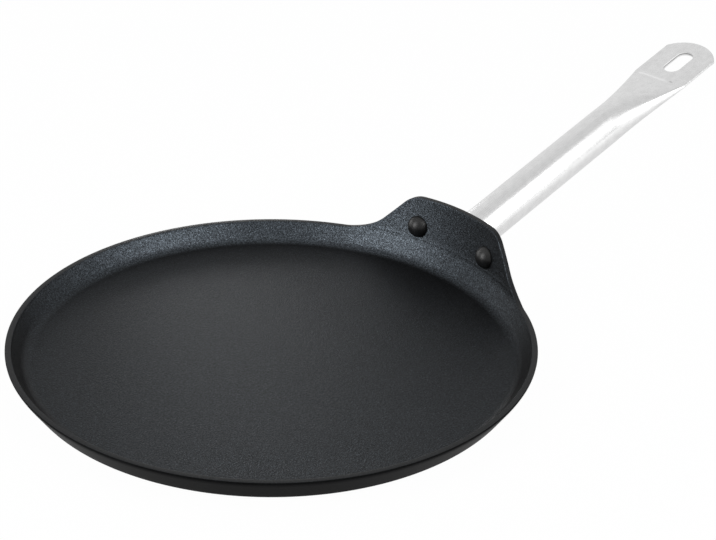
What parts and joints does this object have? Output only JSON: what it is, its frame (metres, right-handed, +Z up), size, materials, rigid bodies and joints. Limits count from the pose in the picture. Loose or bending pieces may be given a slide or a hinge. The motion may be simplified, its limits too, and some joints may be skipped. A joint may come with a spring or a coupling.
{
  "type": "crepe pan",
  "caption": "Shallow round crepe pan of non-stick coated aluminium, with a riveted tubular steel handle pressed flat at its hanging end.",
  "frame": {"origin": "centre of the flat underside", "axes": "+Z up out of the cooking surface, +X towards the handle, +Y to the left when looking along the handle from the pan"},
  "size_m": [0.4655, 0.26, 0.0839],
  "materials": {
    "coated_aluminium": "pressed aluminium with a dark, finely speckled non-stick coating, satin",
    "rivet_aluminium": "aluminium rivet with the same dark coating, smoother than the pan",
    "bracket_steel": "stainless sheet, satin",
    "handle_steel": "stainless tube, fine satin polish along its length"
  },
  "bodies": {
    "root": {"pan_body": "coated_aluminium", "handle_bracket": "bracket_steel", "handle_tube": "handle_steel", "rivet_left": "rivet_aluminium", "rivet_right": "rivet_aluminium"}
  },
  "joints": []
}
